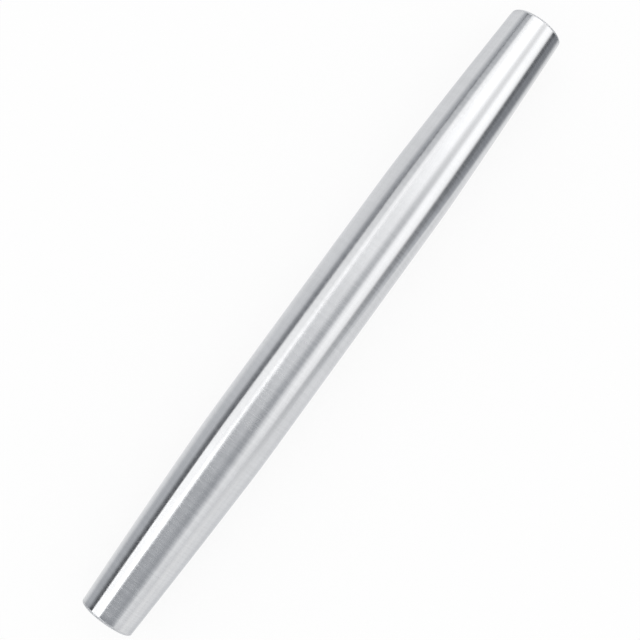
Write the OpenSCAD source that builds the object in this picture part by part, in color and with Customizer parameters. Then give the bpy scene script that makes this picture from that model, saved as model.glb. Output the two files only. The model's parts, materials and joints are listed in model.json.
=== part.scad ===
// French rolling pin: a hollow, tapered steel tube closed by a welded cap at each end.
// It lies along X, with the origin on its axis at mid-length and +Z up.

/* [Pin] */
// Overall length, over both end faces
pin_len = 400; // [330:1:500]
// Diameter of the straight middle
mid_d = 40; // [37:0.5:46]
// Diameter at the end faces, before the edge is rounded
end_d = 32; // [28:0.5:34]
// Length of the straight middle, which does the rolling
straight_len = 144; // [60:2:200]

/* [Taper] */
// Radius of the easing between the straight middle and the taper
ease_r = 1000; // [400:10:1400]
// Radius of the slight bow of the taper
bow_r = 6500; // [4000:100:20000]

/* [Tube] */
// Wall of the tube
wall = 1.5; // [1.2:0.1:3]

/* [End caps] */
// Thickness of a cap's face, outside the tube's mouth
face_t = 3; // [2.8:0.1:6]
// Radius of the rounded outer edge
edge_r = 1.5; // [0.5:0.1:1.9]
// Length of the cap's skirt inside the tube
skirt_len = 6; // [3:0.5:15]
// Wall of the skirt
skirt_wall = 1.5; // [1:0.1:4]
// Chamfer that leads the skirt into the tube's seat
skirt_lead = 0.4; // [0.1:0.1:0.8]
// Gap all round between the skirt and its seat
seat_gap = 0.05; // [0.02:0.01:0.2]
// How far the reamed seat runs on past the skirt
seat_run_out = 1; // [0.2:0.1:3]

/* [Welds] */
// Half the width of the weld groove, which is also its depth
weld_size = 0.8; // [0.4:0.1:0.9]

/* [Hidden] */
$fn = 180;
ease_steps = 10;
bow_steps = 16;
edge_steps = 8;

half_len = pin_len / 2;
half_straight = straight_len / 2;
mid_r = mid_d / 2;
end_r = end_d / 2;

// Where each cap's face meets the tube's mouth, and where the seat inside the tube ends
mouth_x = half_len - face_t;
seat_x = mouth_x - skirt_len - seat_run_out;

// The outline is worked out as [x, radius]. The easing's arc starts square to the straight middle.
// The bow's arc runs on from it, tangent to it, and ends at the end face.
ease_centre = [half_straight, mid_r - ease_r];
end_point = [half_len, end_r];

// The bow's centre is bow_r from the end point and bow_r - ease_r from the easing's centre.
to_end = end_point - ease_centre;
centre_gap = norm(to_end);
along = ((bow_r - ease_r) ^ 2 - bow_r ^ 2 + centre_gap ^ 2) / (2 * centre_gap);
aside = sqrt((bow_r - ease_r) ^ 2 - along ^ 2);
bow_centre = ease_centre + (along * to_end + aside * [to_end[1], -to_end[0]]) / centre_gap;

// Both arcs meet on the line through their centres, and join_angle is its lean from square to the axis.
join_line = ease_centre - bow_centre;
join_angle = atan2(join_line[0], join_line[1]);
join_x = half_straight + ease_r * sin(join_angle);

// Radius of the outline, or of the surface that lies deep below it, at a place along the pin
function radius_at(x, deep = 0) =
    abs(x) <= half_straight ? mid_r - deep
    : abs(x) <= ease_end(deep) ? ease_centre[1] + arc_rise(abs(x) - ease_centre[0], ease_r - deep)
    : bow_centre[1] + arc_rise(abs(x) - bow_centre[0], bow_r - deep);
function arc_rise(run, r) = sqrt(r ^ 2 - run ^ 2);
function ease_end(deep) = join_x - deep * sin(join_angle);

// Points [radius, x] along the outline, or deep below it, from the middle's right end to x
function half_outline(x, deep = 0) = concat(
    [for (i = [0 : ease_steps]) station(half_straight + (ease_end(deep) - half_straight) * i / ease_steps, deep)],
    [for (i = [1 : bow_steps]) station(ease_end(deep) + (x - ease_end(deep)) * i / bow_steps, deep)]
);
function station(x, deep) = [radius_at(x, deep), x];

// The same points on the left half, in the order that carries on from the left end to the middle
function mirrored(points) = [for (i = [len(points) - 1 : -1 : 0]) [points[i][0], -points[i][1]]];

seat_r = radius_at(seat_x, wall);
skirt_r = seat_r - seat_gap;
root_r = radius_at(mouth_x) - weld_size;
rim_r = radius_at(half_len - edge_r);

// Turns a profile of [radius, x] points about the pin's axis
module revolved(points) {
    rotate([0, 90, 0]) rotate_extrude() polygon(points);
}

module on_left() {
    mirror([1, 0, 0]) children();
}

// The tube has a wall of one thickness, and each mouth is reamed for the skirt and bevelled for the weld.
module tapered_tube() {
    outside = half_outline(mouth_x - weld_size);
    mouth = [[root_r, mouth_x], [seat_r, mouth_x], [seat_r, seat_x]];
    inside = half_outline(seat_x, wall);
    right_outer = concat(outside, mouth);
    inner_to_middle = [for (i = [len(inside) - 2 : -1 : 0]) inside[i]];
    right_half = concat(right_outer, inner_to_middle);
    color("silver") revolved(concat(right_half, mirrored(right_half)));
}

// A cap has a solid face with a rounded edge, and a skirt that centres it in the tube's mouth.
module end_cap() {
    rounded = [for (i = [0 : edge_steps]) let (a = 90 * i / edge_steps)
        [rim_r - edge_r + edge_r * cos(a), half_len - edge_r + edge_r * sin(a)]];
    skirt_x = mouth_x - skirt_len;
    bore_r = skirt_r - skirt_wall;
    color("gainsboro") revolved(concat(
        [[0, half_len]],
        [for (i = [edge_steps : -1 : 0]) rounded[i]],
        [station(mouth_x + weld_size, 0), [root_r, mouth_x], [skirt_r, mouth_x]],
        [[skirt_r, skirt_x + skirt_lead], [skirt_r - skirt_lead, skirt_x], [bore_r, skirt_x]],
        [[bore_r, mouth_x], [0, mouth_x]]
    ));
}

// The weld fills the groove between a cap and the tube, and is dressed flush with both.
module weld_ring() {
    color("lightgray") revolved([
        station(mouth_x - weld_size, 0),
        station(mouth_x + weld_size, 0),
        [root_r, mouth_x]
    ]);
}

module left_end_cap() on_left() end_cap();
module right_end_cap() end_cap();
module left_weld_ring() on_left() weld_ring();
module right_weld_ring() weld_ring();

tapered_tube();
left_end_cap();
right_end_cap();
left_weld_ring();
right_weld_ring();
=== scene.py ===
import json
import math

import bmesh
import bpy
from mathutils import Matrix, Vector


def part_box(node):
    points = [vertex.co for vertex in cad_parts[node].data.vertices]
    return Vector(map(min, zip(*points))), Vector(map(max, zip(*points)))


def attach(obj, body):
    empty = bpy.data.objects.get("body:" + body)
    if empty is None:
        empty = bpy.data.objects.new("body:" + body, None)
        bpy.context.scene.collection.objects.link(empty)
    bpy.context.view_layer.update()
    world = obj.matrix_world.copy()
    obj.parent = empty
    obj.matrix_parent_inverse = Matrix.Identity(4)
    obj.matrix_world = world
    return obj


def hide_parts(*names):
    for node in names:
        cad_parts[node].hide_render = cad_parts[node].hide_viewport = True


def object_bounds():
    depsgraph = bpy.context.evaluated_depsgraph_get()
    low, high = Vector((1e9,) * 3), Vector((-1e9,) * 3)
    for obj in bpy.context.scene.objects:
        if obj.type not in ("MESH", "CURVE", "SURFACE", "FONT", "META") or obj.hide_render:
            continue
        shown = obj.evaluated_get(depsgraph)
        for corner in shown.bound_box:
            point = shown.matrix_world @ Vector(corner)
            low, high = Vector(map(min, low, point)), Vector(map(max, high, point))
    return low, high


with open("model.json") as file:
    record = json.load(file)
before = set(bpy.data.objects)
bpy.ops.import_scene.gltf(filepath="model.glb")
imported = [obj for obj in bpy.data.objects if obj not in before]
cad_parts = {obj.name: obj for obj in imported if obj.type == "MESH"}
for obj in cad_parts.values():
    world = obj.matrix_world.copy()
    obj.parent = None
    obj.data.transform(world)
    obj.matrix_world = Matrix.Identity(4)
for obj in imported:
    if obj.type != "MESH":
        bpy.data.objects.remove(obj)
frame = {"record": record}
cad_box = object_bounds()
record = frame["record"]

bl_info = {
    "name": "Steel rolling pin",
    "version": (1, 0, 0),
    "blender": (4, 5, 0),
    "location": "3D View > Sidebar > Rolling Pin",
    "description": "Makes a hollow French rolling pin in brushed steel, in a light tent",
    "category": "Add Mesh",
}

MM = 0.001
BODY = "root"
MAP_NAME = "OFBake"
LEFT, RIGHT = -1, 1
SIDES = ((LEFT, "left"), (RIGHT, "right"))
# Share of its true length that a hidden step of a profile gets in the map
HIDDEN_SHARE = 0.12
# Angle between two faces past which their shared edge is drawn sharp
SHARP_ANGLE = math.radians(30)
# How far a piece may be off the box of its CAD node
MOST_OFF = 0.1 * MM
# Ranges of the noise that become a tone from 0 to 1. The flecks keep only its peaks
LINE_RANGE = (0.36, 0.64)
FLECK_RANGE = (0.44, 0.85)
WHITE = (1.0, 1.0, 1.0, 1.0)
COOL_GREY = (0.94, 1.0, 1.10, 1.0)


def mount_size(mount, size):
    """A size of one of the record's mounts, in metres."""
    found = next(m for m in record["mounts"] if m["name"] == mount)
    return found["dims"][size] * MM


def slot_colour(slot):
    """The colour that the record gives a material slot."""
    return next(m for m in record["materials"] if m["slot"] == slot)["base_color"]


def length(name, description, default, **more):
    """A length property in metres."""
    return bpy.props.FloatProperty(
        name=name, description=description, default=default, unit="LENGTH", precision=5, **more
    )


def share(name, description, default, top=1.0):
    """A property from 0 to 1, or to top."""
    return bpy.props.FloatProperty(
        name=name, description=description, default=default, min=0.0, max=top, subtype="FACTOR"
    )


def count(name, description, default, least):
    """A whole-number property."""
    return bpy.props.IntProperty(name=name, description=description, default=default, min=least)


def spot(name, description, default):
    """A place in space, in metres."""
    return bpy.props.FloatVectorProperty(
        name=name, description=description, default=default, subtype="TRANSLATION", unit="LENGTH"
    )


def colour(name, description, default):
    """A colour property."""
    return bpy.props.FloatVectorProperty(
        name=name, description=description, default=default, subtype="COLOR", size=3, min=0.0, max=1.0
    )


class PinShape(bpy.types.PropertyGroup):
    """Sizes of the pin's pieces."""

    half_length: length("Half length", "From the middle to an end face", cad_box[1].x)
    middle_radius: length(
        "Middle radius", "Radius of the straight middle", mount_size("rolling_surface", "r_mm")
    )
    half_straight: length(
        "Half straight", "Half the straight middle", mount_size("rolling_surface", "length_mm") / 2
    )
    end_radius: length("End radius", "Radius at the end faces, before the edge is rounded", 16 * MM)
    ease_radius: length("Ease radius", "Radius of the arc between the middle and the taper", 1000 * MM)
    bow_radius: length("Bow radius", "Radius of the slight bow of the taper", 6500 * MM)
    wall: length("Wall", "Wall of the tube", 1.5 * MM)
    face_thickness: length("Face thickness", "Thickness of a cap's face outside the tube", 3 * MM)
    edge_radius: length("Edge radius", "Radius of the rounded outer edge", 1.5 * MM)
    skirt_length: length("Skirt length", "Length of a cap's skirt inside the tube", 6 * MM)
    skirt_wall: length("Skirt wall", "Wall of the skirt", 1.5 * MM)
    skirt_lead: length("Skirt lead", "Chamfer that leads the skirt into the tube", 0.4 * MM)
    seat_gap: length("Seat gap", "Gap all round between the skirt and the tube", 0.05 * MM)
    seat_run_out: length("Seat run-out", "How far the reamed seat runs on past the skirt", 1 * MM)
    weld_size: length("Weld size", "Half the width of the weld, which is also its depth", 0.8 * MM)
    facets: count("Facets", "Facets round each piece", 240, 48)
    ring_step: length("Ring step", "Distance between rings of faces along the pin", 2 * MM)
    edge_steps: count("Edge steps", "Rings over a rounded edge", 12, 3)
    face_steps: count("Face steps", "Rings over the flat face of a cap", 12, 3)
    weld_steps: count("Weld steps", "Rings over the crown of a weld", 4, 1)


class SteelFinish(bpy.types.PropertyGroup):
    """How the brushed steel looks."""

    tube_colour: colour("Tube", "Colour of the tube's steel", slot_colour("tube_steel"))
    cap_colour: colour("Caps", "Colour of the caps' steel", slot_colour("cap_steel"))
    weld_colour: colour("Welds", "Colour of the weld metal", slot_colour("weld_steel"))
    roughness: share("Roughness", "Roughness of the brushed surface", 0.238)
    anisotropy: share("Anisotropy", "How much wider the shine is across the brush lines", 0.972)
    line_pitch: length("Line pitch", "Usual distance between brush lines", 0.7 * MM)
    line_reach: length("Line reach", "Usual length of a brush line", 26 * MM)
    line_slant: share("Line slant", "Slope of a brush line against a true ring", 0.03)
    line_tone: share("Line tone", "How much the brush lines change the colour", 0.025)
    line_roughness: share("Line roughness", "How much the brush lines change the roughness", 0.06)
    ring_pitch: length("Ring pitch", "Usual distance between the turned rings of an end face", 0.9 * MM)
    ring_reach: length("Ring reach", "Usual length of a turned ring", 60 * MM)
    ring_tone: share("Ring tone", "How much the turned rings change the colour", 0.07)
    ring_roughness: share("Ring roughness", "How much the turned rings change the roughness", 0.2)
    fleck_width: length("Fleck width", "Usual width of the short flecks that the brush leaves", 0.8 * MM)
    fleck_reach: length("Fleck reach", "Usual length of a fleck round the pin", 6 * MM)
    fleck_slant: share("Fleck slant", "Slope of a fleck against a true ring", 0.12)
    fleck_tone: share("Fleck tone", "How much darker the flecks are", 0.02)
    fleck_roughness: share("Fleck roughness", "How much rougher the flecks are", 0.9, top=4.0)
    fleck_fade: share("Fleck fade", "How much of the flecks is left towards the right end", 0.15)
    fleck_flank: share("Fleck flank", "How much of the flecks is left on the pin's two flanks", 0.2)
    crown_edge: share("Crown edge", "Share of the radius from which the flecks fade to the flanks", 0.15)
    flank_edge: share("Flank edge", "Share of the radius past which the flecks are faded", 0.5)
    relief: length("Relief", "Depth of the brush lines and flecks", 0.0015 * MM)
    cloud_size: length("Cloud size", "Size of the slow patches of a handled surface", 30 * MM)
    cloud_tone: share("Cloud tone", "How much darker the slow patches are", 0.03)
    edge_roughness: share("Edge roughness", "Roughness of the rounded, hand-broken edges", 0.50)
    rub_reach: length("Rub reach", "How far the rubbed band runs from the rounded edge", 2 * MM)
    rub_polish: share("Rub polish", "How much smoother the rubbed band is", 0.3)


class StudioLight(bpy.types.PropertyGroup):
    """The camera, the floor and the light tent."""

    camera_place: spot("Camera", "Place of the camera", (-0.0608, -0.0397, 0.6817))
    camera_aim: spot("Aim", "Point that the camera looks at", (-0.0039, 0.0015, 0.0))
    lens: bpy.props.FloatProperty(
        name="Lens", description="Focal length in millimetres", default=70.67, unit="CAMERA"
    )
    nearest: length("Nearest", "Distance from which the camera sees", 10 * MM)
    floor_size: length("Floor size", "Half the side of the floor", 4.0)
    floor_tone: share("Floor tone", "Brightness of the floor's own colour", 0.95)
    floor_glow: share("Floor glow", "Share of plain white in the floor that shows", 0.85)
    tent_radius: length("Tent radius", "Distance of the tent's cards from the pin's axis", 0.9)
    tent_reach: length("Tent reach", "Half the length of the tent's cards", 2.5)
    tent_end: bpy.props.FloatProperty(
        name="Tent end", description="Degrees from straight up to the last card's last edge", default=92.0
    )
    card_facets: count("Card facets", "Facets across a curved card", 24, 4)
    card_lap: length("Card lap", "How far a card of the tent lies inside the one before", 5 * MM)
    card_lift: length("Card lift", "How far a card of the floor lies above the one before", 0.5 * MM)
    end_card_height: length("End card height", "Height of the cards that stand past the pin's ends", 0.8)


def tree_of(material):
    """The emptied node tree of a material."""
    material.use_nodes = True
    material.node_tree.nodes.clear()
    return material.node_tree


class Wiring:
    """Adds nodes to one tree and links them."""

    def __init__(self, tree):
        self.tree = tree

    def add(self, kind, inputs=None, **settings):
        """A new node, with its settings, and inputs given as values or as sockets to link."""
        node = self.tree.nodes.new(kind)
        for name, value in settings.items():
            setattr(node, name, value)
        for key, value in (inputs or {}).items():
            self.feed(node.inputs[key], value)
        return node

    def feed(self, socket, value):
        """Links a socket to an input, or gives the input its value."""
        if isinstance(value, bpy.types.NodeSocket):
            self.tree.links.new(value, socket)
        else:
            socket.default_value = value

    def calc(self, operation, *values):
        """The result of a Math node."""
        inputs = dict(enumerate(values))
        return self.add("ShaderNodeMath", inputs, operation=operation).outputs[0]

    def product(self, first, *others):
        """The product of all the values."""
        for value in others:
            first = self.calc("MULTIPLY", first, value)
        return first

    def ramp(self, value, low, high, start=0.0, stop=1.0):
        """The value moved smoothly from the range low to high to the range start to stop."""
        node = self.add("ShaderNodeMapRange", interpolation_type="SMOOTHSTEP")
        for socket, given in zip(node.inputs, (value, low, high, start, stop)):
            self.feed(socket, given)
        return node.outputs[0]

    def blend(self, amount, first, second):
        """A colour from first to second."""
        node = self.add("ShaderNodeMix", {"Factor": amount}, data_type="RGBA")
        ends = [socket for socket in node.inputs if socket.type == "RGBA"]
        for socket, given in zip(ends, (first, second)):
            self.feed(socket, given)
        return next(socket for socket in node.outputs if socket.type == "RGBA")

    def parts(self, place):
        """The X, Y and Z of a place."""
        return self.add("ShaderNodeSeparateXYZ", {0: place}).outputs

    def join(self, x, y, z):
        """A place from its X, Y and Z."""
        return self.add("ShaderNodeCombineXYZ", {"X": x, "Y": y, "Z": z}).outputs[0]

    def group(self, tree, inputs):
        """The one output of a node group."""
        return self.add("ShaderNodeGroup", inputs, node_tree=tree).outputs[0]


def size_of(w, first, second):
    """The length of the diagonal that two sides span."""
    squares = [w.calc("MULTIPLY", value, value) for value in (first, second)]
    return w.calc("SQRT", w.calc("ADD", *squares))


def new_group(name, inputs, output):
    """An empty node group with one output. It takes a place and the inputs, given by name and default."""
    tree = bpy.data.node_groups.new(name, "ShaderNodeTree")
    tree.interface.new_socket("Place", in_out="INPUT", socket_type="NodeSocketVector")
    for socket, default in inputs.items():
        item = tree.interface.new_socket(socket, in_out="INPUT", socket_type="NodeSocketFloat")
        item.default_value = default
    tree.interface.new_socket(output, in_out="OUTPUT", socket_type="NodeSocketFloat")
    return tree


def brush_marks_group():
    """Noise drawn out round the pin: a place in metres goes in, and a tone from 0 to 1 comes out."""
    name = "brush_marks"
    if name in bpy.data.node_groups:
        return bpy.data.node_groups[name]
    low, high = LINE_RANGE
    sizes = {"Width": 0.5 * MM, "Reach": 20 * MM, "Slant": 0.03}
    tree = new_group(name, {**sizes, "Low": low, "High": high}, "Tone")
    w = Wiring(tree)
    given = w.add("NodeGroupInput").outputs
    parts = w.parts(given["Place"])
    reach = given["Reach"]
    layers = []
    for side, across in ((LEFT, parts["Y"]), (RIGHT, parts["Z"])):
        slanted = w.calc("MULTIPLY_ADD", across, w.calc("MULTIPLY", given["Slant"], side), parts["X"])
        drawn_out = w.join(
            w.calc("DIVIDE", slanted, given["Width"]),
            w.calc("DIVIDE", parts["Y"], reach),
            w.calc("DIVIDE", parts["Z"], reach),
        )
        noise = {"Vector": drawn_out, "Scale": 1.0, "Detail": 2.0, "Roughness": 0.6}
        layers.append(w.add("ShaderNodeTexNoise", noise).outputs["Fac"])
    mean = w.calc("MULTIPLY", w.calc("ADD", *layers), 0.5)
    w.add("NodeGroupOutput", {"Tone": w.ramp(mean, given["Low"], given["High"])})
    return tree


def handling_clouds_group():
    """Slow patches of tone, as a wiped and handled surface has."""
    name = "handling_clouds"
    if name in bpy.data.node_groups:
        return bpy.data.node_groups[name]
    tree = new_group(name, {"Size": 30 * MM, "Low": 0.35, "High": 0.65}, "Tone")
    w = Wiring(tree)
    given = w.add("NodeGroupInput").outputs
    scale = w.calc("DIVIDE", 1.0, given["Size"])
    noise = {"Vector": given["Place"], "Scale": scale, "Detail": 4.0, "Roughness": 0.55}
    clouds = w.add("ShaderNodeTexNoise", noise).outputs["Fac"]
    w.add("NodeGroupOutput", {"Tone": w.ramp(clouds, given["Low"], given["High"])})
    return tree


def edge_rub_group():
    """Where handling has rubbed a rounded edge: 1 on it, and 0 past the reach on either side of it."""
    name = "edge_rub"
    if name in bpy.data.node_groups:
        return bpy.data.node_groups[name]
    centre = {"Centre X": 198.5 * MM, "Centre Radius": 14.5 * MM}
    tree = new_group(name, {**centre, "Edge Radius": 1.5 * MM, "Reach": 2 * MM}, "Mask")
    w = Wiring(tree)
    given = w.add("NodeGroupInput").outputs
    parts = w.parts(given["Place"])
    past = w.calc("SUBTRACT", w.calc("ABSOLUTE", parts["X"]), given["Centre X"])
    out = w.calc("SUBTRACT", size_of(w, parts["Y"], parts["Z"]), given["Centre Radius"])
    far = w.calc("ADD", given["Edge Radius"], given["Reach"])
    mask = w.ramp(size_of(w, past, out), given["Edge Radius"], far, 1.0, 0.0)
    w.add("NodeGroupOutput", {"Mask": mask})
    return tree


def marks(w, place, width, reach, slant, noise_range):
    """Marks of one kind, as a tone from 0 to 1."""
    low, high = noise_range
    given = {"Place": place, "Width": width, "Reach": reach, "Slant": slant, "Low": low, "High": high}
    return w.group(brush_marks_group(), given)


def side_marks(w, shape, finish, place):
    """The lines and the flecks round the pin. The flecks fade to the right end and to the two flanks."""
    parts = w.parts(place)
    lines = marks(w, place, finish.line_pitch, finish.line_reach, finish.line_slant, LINE_RANGE)
    flecks = marks(w, place, finish.fleck_width, finish.fleck_reach, finish.fleck_slant, FLECK_RANGE)
    half, radius = shape.half_length, shape.middle_radius
    by_end = w.ramp(parts["X"], -half / 2, half / 2, 1.0, finish.fleck_fade)
    crown, flank = finish.crown_edge * radius, finish.flank_edge * radius
    by_flank = w.ramp(w.calc("ABSOLUTE", parts["Y"]), crown, flank, 1.0, finish.fleck_flank)
    return lines, w.product(flecks, by_end, by_flank)


def face_marks(w, finish, place):
    """The turned rings and the faint flecks of an end face, which run round its middle."""
    parts = w.parts(place)
    along = w.calc("SUBTRACT", w.calc("ABSOLUTE", parts["X"]), size_of(w, parts["Y"], parts["Z"]))
    ring_place = w.join(along, parts["Y"], parts["Z"])
    rings = marks(w, ring_place, finish.ring_pitch, finish.ring_reach, 0.0, LINE_RANGE)
    flecks = marks(w, ring_place, finish.fleck_width, finish.fleck_reach, finish.fleck_slant, FLECK_RANGE)
    return rings, w.product(flecks, finish.fleck_flank)


def steel(name, tone, shape, finish, turned_face=False, broken_edge=False):
    """Brushed steel whose lines run round the pin. A turned face has rings in their place. A broken edge is
    rougher, and shines alike in all directions."""
    material = bpy.data.materials.new(name)
    w = Wiring(tree_of(material))
    place = w.add("ShaderNodeTexCoord").outputs["Object"]
    if turned_face:
        lines, flecks = face_marks(w, finish, place)
        line_tone, line_roughness = finish.ring_tone, finish.ring_roughness
    else:
        lines, flecks = side_marks(w, shape, finish, place)
        line_tone, line_roughness = finish.line_tone, finish.line_roughness
    clouds = w.group(handling_clouds_group(), {"Place": place, "Size": finish.cloud_size})
    shade = w.product(
        w.ramp(lines, 0.0, 1.0, 1.0 - line_tone, 1.0 + line_tone),
        w.ramp(flecks, 0.0, 1.0, 1.0, 1.0 - finish.fleck_tone),
        w.ramp(clouds, 0.0, 1.0, 1.0, 1.0 - finish.cloud_tone),
    )
    shaded = w.add("ShaderNodeVectorMath", {0: tuple(tone), "Scale": shade}, operation="SCALE").outputs[0]
    if broken_edge:
        plain = finish.edge_roughness
    else:
        edge = {
            "Place": place,
            "Centre X": shape.half_length - shape.edge_radius,
            "Centre Radius": shape.end_radius - shape.edge_radius,
            "Edge Radius": shape.edge_radius,
            "Reach": finish.rub_reach,
        }
        rub = w.group(edge_rub_group(), edge)
        plain = w.ramp(rub, 0.0, 1.0, finish.roughness, finish.roughness * (1.0 - finish.rub_polish))
    rough = w.product(
        w.ramp(flecks, 0.0, 1.0, 1.0, 1.0 + finish.fleck_roughness),
        w.ramp(lines, 0.0, 1.0, 1.0 - line_roughness, 1.0 + line_roughness),
        plain,
    )
    height = w.calc("MULTIPLY", w.calc("ADD", lines, flecks), 0.5)
    bump = w.add("ShaderNodeBump", {"Strength": 1.0, "Distance": finish.relief, "Height": height})
    shader = w.add(
        "ShaderNodeBsdfPrincipled",
        {
            "Base Color": shaded,
            "Metallic": 1.0,
            "Roughness": rough,
            "Anisotropic": 0.0 if broken_edge else finish.anisotropy,
            "Normal": bump.outputs["Normal"],
            "Tangent": w.add("ShaderNodeTangent", direction_type="UV_MAP", uv_map=MAP_NAME).outputs[0],
        },
    )
    w.add("ShaderNodeOutputMaterial", {"Surface": shader.outputs[0]})
    return material


class Outline:
    """The pin's outline: a straight middle, an easing arc, and the long arc of the bowed taper."""

    def __init__(self, shape):
        self.shape = shape
        self.ease_centre = Vector((shape.half_straight, shape.middle_radius - shape.ease_radius))
        to_end = Vector((shape.half_length, shape.end_radius)) - self.ease_centre
        centre_gap = to_end.length
        arm = shape.bow_radius - shape.ease_radius
        along = (arm**2 - shape.bow_radius**2 + centre_gap**2) / (2 * centre_gap)
        aside = math.sqrt(arm**2 - along**2)
        across = Vector((to_end.y, -to_end.x))
        self.bow_centre = self.ease_centre + (along * to_end + aside * across) / centre_gap
        # The two arcs meet on the line through their centres
        lean = self.ease_centre - self.bow_centre
        self.join_x = shape.half_straight + shape.ease_radius * lean.x / lean.length
        self.lean_share = lean.x / lean.length
        self.mouth_x = shape.half_length - shape.face_thickness
        self.seat_x = self.mouth_x - shape.skirt_length - shape.seat_run_out
        self.seat_radius = self.radius(self.seat_x, shape.wall)
        self.skirt_radius = self.seat_radius - shape.seat_gap
        self.root_radius = self.radius(self.mouth_x) - shape.weld_size

    def radius(self, x, deep=0.0):
        """Radius of the outline at x, or of the surface that lies deep below it."""
        x = abs(x)
        if x <= self.shape.half_straight:
            return self.shape.middle_radius - deep
        if x <= self.join_x - deep * self.lean_share:
            centre, arc = self.ease_centre, self.shape.ease_radius
        else:
            centre, arc = self.bow_centre, self.shape.bow_radius
        return centre.y + math.sqrt((arc - deep) ** 2 - (x - centre.x) ** 2)

    def run(self, start, stop, deep=0.0):
        """Points (x, radius) along the outline, or deep below it, from start to stop."""
        steps = max(1, round(abs(stop - start) / self.shape.ring_step))
        places = [start + (stop - start) * i / steps for i in range(steps + 1)]
        return [(x, self.radius(x, deep)) for x in places]


def mapped_piece(name, verts, faces, map_name, places):
    """A new object whose mesh has one map, given as a place for each corner of each face."""
    mesh = bpy.data.meshes.new(name)
    mesh.from_pydata(verts, [], faces)
    layer = mesh.uv_layers.new(name=map_name)
    layer.uv.foreach_set("vector", [value for place in places for value in place])
    piece = bpy.data.objects.new(name, mesh)
    bpy.context.scene.collection.objects.link(piece)
    return piece


def turned_rings(points, facets):
    """The vertices of a turned profile, and the ring of vertices that each of its points makes."""
    verts, rings = [], []
    for x, radius in points:
        if radius == 0:
            rings.append([len(verts)] * facets)
            verts.append((x, 0.0, 0.0))
            continue
        rings.append([len(verts) + k for k in range(facets)])
        for k in range(facets):
            angle = 2 * math.pi * k / facets
            verts.append((x, radius * math.sin(angle), -radius * math.cos(angle)))
    return verts, rings


def turned(name, points, facets, closed, shown, second=()):
    """A piece turned about the X axis from (x, radius) points. The first shown steps of the profile are seen
    from outside, and the rest gets a narrow strip of the map, which runs along the profile in U and round it
    in V. The steps in second get the piece's second material."""
    steps = len(points) if closed else len(points) - 1
    following = points[1:] + points[:1]
    reach = [0.0]
    for i in range(steps):
        gap = math.dist(points[i], following[i])
        reach.append(reach[-1] + gap * (1.0 if i < shown else HIDDEN_SHARE))
    verts, rings = turned_rings(points, facets)
    faces, places = [], []
    for i in range(steps):
        near, far = rings[i], rings[(i + 1) % len(points)]
        for k in range(facets):
            after = (k + 1) % facets
            corners = [(near[k], reach[i], k), (far[k], reach[i + 1], k)]
            corners += [(far[after], reach[i + 1], k + 1), (near[after], reach[i], k + 1)]
            # On the axis, two of the corners are one vertex
            kept = [c for j, c in enumerate(corners) if c[0] not in [d[0] for d in corners[:j]]]
            faces.append([c[0] for c in kept])
            places += [(c[1] / reach[-1], c[2] / facets) for c in kept]
    piece = mapped_piece(name, verts, faces, MAP_NAME, places)
    for face in piece.data.polygons:
        face.material_index = int(face.index // facets in second)
    face_outwards(piece.data)
    piece.data.set_sharp_from_angle(angle=SHARP_ANGLE)
    return piece


def face_outwards(mesh):
    """Turns the mesh's faces to look out of the metal, and shades them smooth."""
    bm = bmesh.new()
    bm.from_mesh(mesh)
    bmesh.ops.recalc_face_normals(bm, faces=bm.faces)
    for face in bm.faces:
        face.smooth = True
    bm.to_mesh(mesh)
    bm.free()


def seat(piece, node, slot, *materials):
    """Puts a piece in place of its CAD node, once it is known to fill the same box."""
    points = [v.co for v in piece.data.vertices]
    low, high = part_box(node)
    for axis in range(3):
        places = [point[axis] for point in points]
        off = max(abs(min(places) - low[axis]), abs(max(places) - high[axis]))
        if off > MOST_OFF:
            raise RuntimeError(f"{piece.name} is {off / MM:.3f} mm off the box of {node}")
    for material in materials:
        piece.data.materials.append(material)
    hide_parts(node)
    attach(piece, BODY)


class PIN_OT_tube(bpy.types.Operator):
    """Make the tapered tube, with one wall thickness and a reamed, bevelled mouth at each end"""

    bl_idname = "rolling_pin.tube"
    bl_label = "Tapered Tube"

    def execute(self, context):
        shape, finish = context.scene.pin_shape, context.scene.steel_finish
        line = Outline(shape)
        weld_x = line.mouth_x - shape.weld_size
        outside = line.run(-weld_x, weld_x)
        mouth = [
            (line.mouth_x, line.root_radius),
            (line.mouth_x, line.seat_radius),
            (line.seat_x, line.seat_radius),
        ]
        inside = line.run(line.seat_x, -line.seat_x, shape.wall)[1:-1]
        other_mouth = [(-x, radius) for x, radius in reversed(mouth)]
        profile = outside + mouth + inside + other_mouth
        piece = turned("brushed_tube", profile, shape.facets, True, len(outside) - 1)
        material = steel("brushed_steel", finish.tube_colour, shape, finish)
        seat(piece, "tapered_tube", "tube_steel", material)
        return {"FINISHED"}


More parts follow.
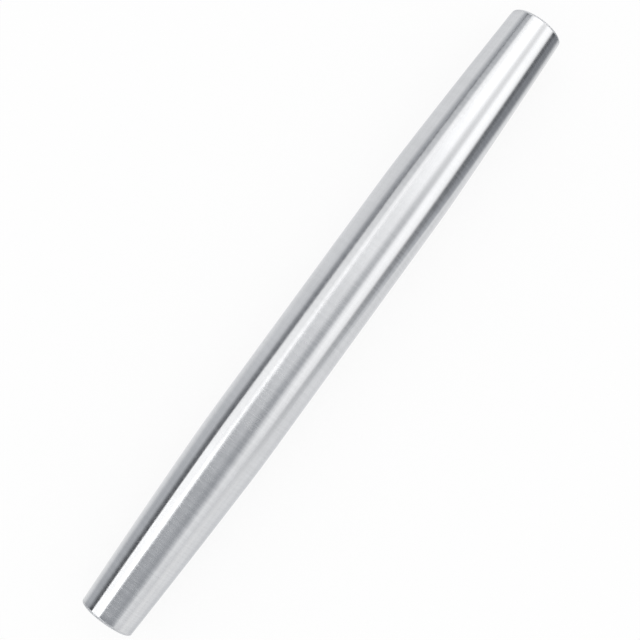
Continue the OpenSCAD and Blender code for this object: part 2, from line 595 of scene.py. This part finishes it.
class PIN_OT_caps(bpy.types.Operator):
    """Make the two end caps, each a face with a rounded edge and a skirt that seats in the tube's mouth"""

    bl_idname = "rolling_pin.caps"
    bl_label = "End Caps"

    def execute(self, context):
        shape, finish = context.scene.pin_shape, context.scene.steel_finish
        line = Outline(shape)
        rim = shape.half_length - shape.edge_radius
        bend, rim_radius = shape.edge_radius, line.radius(rim) - shape.edge_radius
        face = [(shape.half_length, rim_radius * i / shape.face_steps) for i in range(shape.face_steps)]
        quarter = [math.pi / 2 * i / shape.edge_steps for i in range(shape.edge_steps + 1)]
        edge = [(rim + bend * math.cos(a), rim_radius + bend * math.sin(a)) for a in quarter]
        weld_x = line.mouth_x + shape.weld_size
        outside = [(weld_x, line.radius(weld_x))]
        skirt_end = line.mouth_x - shape.skirt_length
        bore = line.skirt_radius - shape.skirt_wall
        seated = [
            (line.mouth_x, line.root_radius),
            (line.mouth_x, line.skirt_radius),
            (skirt_end + shape.skirt_lead, line.skirt_radius),
            (skirt_end, line.skirt_radius - shape.skirt_lead),
            (skirt_end, bore),
            (line.mouth_x, bore),
            (line.mouth_x, 0),
        ]
        shown = len(face) + len(edge) + len(outside) - 1
        rounded = range(len(face), len(face) + shape.edge_steps)
        face_steel = steel("turned_steel", finish.cap_colour, shape, finish, turned_face=True)
        edge_steel = steel("broken_edge_steel", finish.cap_colour, shape, finish, broken_edge=True)
        for side, word in SIDES:
            profile = [(side * x, radius) for x, radius in face + edge + outside + seated]
            piece = turned(f"{word}_cap", profile, shape.facets, False, shown, rounded)
            seat(piece, f"{word}_end_cap", "cap_steel", face_steel, edge_steel)
        return {"FINISHED"}


class PIN_OT_welds(bpy.types.Operator):
    """Make the two weld rings, dressed flush between the tube and its caps"""

    bl_idname = "rolling_pin.welds"
    bl_label = "Weld Rings"

    def execute(self, context):
        shape, finish = context.scene.pin_shape, context.scene.steel_finish
        line = Outline(shape)
        low, high = line.mouth_x - shape.weld_size, line.mouth_x + shape.weld_size
        steps = shape.weld_steps
        crown = [low + (high - low) * i / steps for i in range(steps + 1)]
        section = [(x, line.radius(x)) for x in crown] + [(line.mouth_x, line.root_radius)]
        material = steel("dressed_weld", finish.weld_colour, shape, finish)
        for side, word in SIDES:
            profile = [(side * x, radius) for x, radius in section]
            piece = turned(f"{word}_weld", profile, shape.facets, True, steps)
            seat(piece, f"{word}_weld_ring", "weld_steel", material)
        return {"FINISHED"}


class Card:
    """One card of the tent or of the floor, or past one end of the pin.

    start is the place of its first edge: for a card of the tent an angle in degrees from straight up towards
    -Y, for one of the floor a distance from the pin's axis, and for one past an end a place along X.
    left and right are its light at the pin's left and right end, which fades from one to the other over
    fade_width round fade_x. far is how much of it is left at the last edge, and soft is the width of the
    first edge. drift is how much further out the first edge is at the pin's left end, with the same fade.
    side is 1 for a card of the floor on the +Y side of the pin, and -1 for one on the other side."""

    def __init__(
        self, name, start, left, right, fade_x=0.0, fade_width=0.6, far=1.0, soft=2.0, drift=0.0, side=0
    ):
        self.name = name
        self.start = start
        self.left, self.right = left, right
        self.fade_from, self.fade_to = fade_x - fade_width / 2, fade_x + fade_width / 2
        self.far = far
        self.soft = soft
        self.drift = drift
        self.side = side


# Each card overlaps the one before
TENT_CARDS = (
    Card("left_low_card", -92, 0.40, 0.90, fade_x=-0.05, fade_width=1.0),
    Card("left_shade_card", -78.5, 0.15, 0.95, fade_x=0.15, fade_width=0.85, far=0.4, soft=16),
    Card("left_edge_card", -60, 1.25, 0.10, fade_x=-0.05, fade_width=0.4, far=2.0, soft=0.5),
    Card("left_softbox", -55.5, 1.45, 0.50, fade_x=0.15, fade_width=0.75, soft=0.5),
    Card("left_inner_softbox", -38, 2.20, 1.20, fade_x=-0.35, fade_width=0.25, soft=6),
    Card("left_bright_strip", -30, 6.00, 1.35, fade_x=-0.35, fade_width=0.25),
    Card("left_spill_card", -26, 2.80, 1.15, fade_x=-0.35, fade_width=0.25, far=1.15),
    Card("overhead_softbox", -24, 0.35, 1.70, fade_x=0.2, fade_width=1.0, far=1.15, soft=16),
    Card("lens_line_card", 13, 0.45, 1.30, fade_x=0.25, fade_width=0.25, far=0.75, soft=20),
    Card("lens_gap_card", 36, 0.55, 1.60, fade_x=0.0, fade_width=0.4, far=0.85, soft=16),
    Card("right_softbox", 46, 0.95, 1.55, fade_x=0.0, fade_width=0.15, far=0.8, soft=12),
    Card("right_low_card", 72, 0.85, 0.10, fade_x=0.05, fade_width=0.4, far=1.2, soft=12),
)
FLOOR_CARDS = (
    Card("left_hem_card", 0.025, 0.90, 0.80, soft=0.01, side=1),
    Card("right_hem_card", 0.025, 0.65, 0.95, soft=0.01, side=-1),
    Card("left_floor_card", 0.065, 0.50, 0.85, fade_x=-0.05, fade_width=0.3, soft=0.07, side=1),
    Card("right_floor_card", 0.045, 0.90, 0.85, soft=0.07, side=-1),
    Card(
        "right_stripe_card", 0.045, 0.90, 0.25, fade_x=0.06, fade_width=0.25, soft=0.04, drift=0.12, side=-1
    ),
)
END_CARDS = (
    Card("left_end_card", -1.1, 0.60, 0.60),
    Card("right_end_card", 1.3, 0.60, 0.60),
)


def card_light(card, width=0.0):
    """The light of a card, which is cool where it is dim. width is the distance from its first edge to its
    last, in the units of its start. A card that is given none has hard edges."""
    material = bpy.data.materials.new(card.name)
    w = Wiring(tree_of(material))
    place = w.add("ShaderNodeTexCoord").outputs
    x = w.parts(place["Object"])["X"]
    across = w.parts(place["UV"])["Y"]
    level = w.ramp(x, card.fade_from, card.fade_to, card.left, card.right)
    falloff = w.calc("MULTIPLY_ADD", across, card.far - 1.0, 1.0)
    level = w.product(level, falloff)
    tint = w.blend(level, COOL_GREY, WHITE)
    shown = w.add("ShaderNodeEmission", {"Color": tint, "Strength": level}).outputs[0]
    if width:
        edge = w.ramp(x, card.fade_from, card.fade_to, card.drift / width, 0.0)
        cover = w.ramp(across, edge, w.calc("ADD", edge, card.soft / width))
        clear = w.add("ShaderNodeBsdfTransparent").outputs[0]
        shown = w.add("ShaderNodeMixShader", {0: cover, 1: clear, 2: shown}).outputs[0]
    w.add("ShaderNodeOutputMaterial", {"Surface": shown})
    material.cycles.emission_sampling = "NONE"
    return material


def card_sheet(name, rows, material):
    """A card that only reflections show, made of rows of two points, with V running over the rows."""
    last = len(rows) - 1
    verts = [point for row in rows for point in row]
    faces = [(2 * i, 2 * i + 1, 2 * i + 3, 2 * i + 2) for i in range(last)]
    places = [(u, (i + j) / last) for i in range(last) for u, j in ((0, 0), (1, 0), (1, 1), (0, 1))]
    piece = mapped_piece(name, verts, faces, "card", places)
    piece.data.materials.append(material)
    for ray in ("camera", "diffuse", "transmission", "volume_scatter", "shadow"):
        setattr(piece, f"visible_{ray}", False)


def floor_material(tone, glow_share):
    """Pale floor. The camera and reflections see it as white, with part of the pin's shadow left on it."""
    material = bpy.data.materials.new("pale_floor")
    w = Wiring(tree_of(material))
    paint = w.add("ShaderNodeBsdfDiffuse", {"Color": (tone, tone, tone, 1.0)}).outputs[0]
    path = w.add("ShaderNodeLightPath").outputs
    seen = w.calc("MAXIMUM", path["Is Camera Ray"], path["Is Glossy Ray"])
    seen = w.calc("MAXIMUM", seen, path["Is Transmission Ray"])
    glow = w.add("ShaderNodeEmission", {"Color": WHITE, "Strength": 1.0}).outputs[0]
    both = w.add("ShaderNodeMixShader", {0: w.product(seen, glow_share), 1: paint, 2: glow}).outputs[0]
    w.add("ShaderNodeOutputMaterial", {"Surface": both})
    material.cycles.emission_sampling = "NONE"
    return material


class PIN_OT_stage(bpy.types.Operator):
    """Set up the floor, the light tent and the camera"""

    bl_idname = "rolling_pin.stage"
    bl_label = "Stage"

    def execute(self, context):
        scene, studio = context.scene, context.scene.studio_light
        scene.view_settings.view_transform = "Standard"
        self.add_camera(scene, studio)
        self.add_room(scene)
        self.add_floor(scene, studio)
        self.add_tent(studio)
        self.add_floor_cards(studio)
        self.add_end_cards(studio)
        return {"FINISHED"}

    def add_camera(self, scene, studio):
        """Adds the camera at the photo's viewing angle."""
        lens = bpy.data.cameras.new("camera")
        lens.lens = studio.lens
        lens.clip_start = studio.nearest
        camera = bpy.data.objects.new("camera", lens)
        camera.location = studio.camera_place
        aim = Vector(studio.camera_aim) - Vector(studio.camera_place)
        camera.rotation_euler = aim.to_track_quat("-Z", "Y").to_euler()
        scene.collection.objects.link(camera)
        scene.camera = camera

    def add_room(self, scene):
        """Gives the scene plain white surroundings."""
        world = bpy.data.worlds.new("white_room")
        world.use_nodes = True
        backdrop = world.node_tree.nodes["Background"].inputs
        backdrop["Color"].default_value = WHITE
        backdrop["Strength"].default_value = 1.0
        scene.world = world

    def add_floor(self, scene, studio):
        """Adds the floor that the pin lies on."""
        mesh = bpy.data.meshes.new("floor")
        half, top = studio.floor_size, cad_box[0].z
        corners = [(-half, -half, top), (half, -half, top), (half, half, top), (-half, half, top)]
        mesh.from_pydata(corners, [], [(0, 1, 2, 3)])
        mesh.materials.append(floor_material(studio.floor_tone, studio.floor_glow))
        floor = bpy.data.objects.new("floor", mesh)
        scene.collection.objects.link(floor)

    def add_tent(self, studio):
        """Adds the curved cards round the pin. Each ends where the next one is wholly there."""
        far, facets = studio.tent_reach, studio.card_facets
        ends = [card.start + card.soft / 2 for card in TENT_CARDS[1:]] + [studio.tent_end]
        for i, (card, last) in enumerate(zip(TENT_CARDS, ends)):
            first = card.start - card.soft / 2
            radius = studio.tent_radius - i * studio.card_lap
            angles = [math.radians(first + (last - first) * k / facets) for k in range(facets + 1)]
            rows = [[(x, -radius * math.sin(a), radius * math.cos(a)) for x in (-far, far)] for a in angles]
            card_sheet(card.name, rows, card_light(card, last - first))

    def add_floor_cards(self, studio):
        """Adds the cards that lie on the floor, each a little above the one before."""
        far, height = studio.tent_reach, cad_box[0].z
        for card in FLOOR_CARDS:
            height += studio.card_lift
            near = card.start - card.soft / 2
            rows = [[(x, card.side * y, height) for x in (-far, far)] for y in (near, studio.tent_radius)]
            card_sheet(card.name, rows, card_light(card, studio.tent_radius - near))

    def add_end_cards(self, studio):
        """Adds the upright cards past the pin's ends."""
        half, low, top = studio.tent_radius, cad_box[0].z, studio.end_card_height
        for card in END_CARDS:
            rows = [[(card.start, y, z) for y in (-half, half)] for z in (low, top)]
            card_sheet(card.name, rows, card_light(card))


OPERATORS = (PIN_OT_tube, PIN_OT_caps, PIN_OT_welds, PIN_OT_stage)


class VIEW3D_PT_rolling_pin(bpy.types.Panel):
    """The pin's operators and settings"""

    bl_label = "Rolling Pin"
    bl_space_type = "VIEW_3D"
    bl_region_type = "UI"
    bl_category = "Rolling Pin"

    def draw(self, context):
        for operator in OPERATORS:
            self.layout.operator(operator.bl_idname)
        for group in (context.scene.pin_shape, context.scene.steel_finish, context.scene.studio_light):
            box = self.layout.box()
            for name in group.__annotations__:
                box.prop(group, name)


CLASSES = (PinShape, SteelFinish, StudioLight, *OPERATORS, VIEW3D_PT_rolling_pin)


def register():
    """Registers the classes, and gives each scene its settings."""
    for cls in CLASSES:
        bpy.utils.register_class(cls)
    bpy.types.Scene.pin_shape = bpy.props.PointerProperty(type=PinShape)
    bpy.types.Scene.steel_finish = bpy.props.PointerProperty(type=SteelFinish)
    bpy.types.Scene.studio_light = bpy.props.PointerProperty(type=StudioLight)


def unregister():
    """Undoes what register did."""
    del bpy.types.Scene.pin_shape
    del bpy.types.Scene.steel_finish
    del bpy.types.Scene.studio_light
    for cls in reversed(CLASSES):
        bpy.utils.unregister_class(cls)


def main():
    """Makes the pin and its stage."""
    register()
    bpy.ops.rolling_pin.tube()
    bpy.ops.rolling_pin.caps()
    bpy.ops.rolling_pin.welds()
    bpy.ops.rolling_pin.stage()


if __name__ == "__main__":
    main()
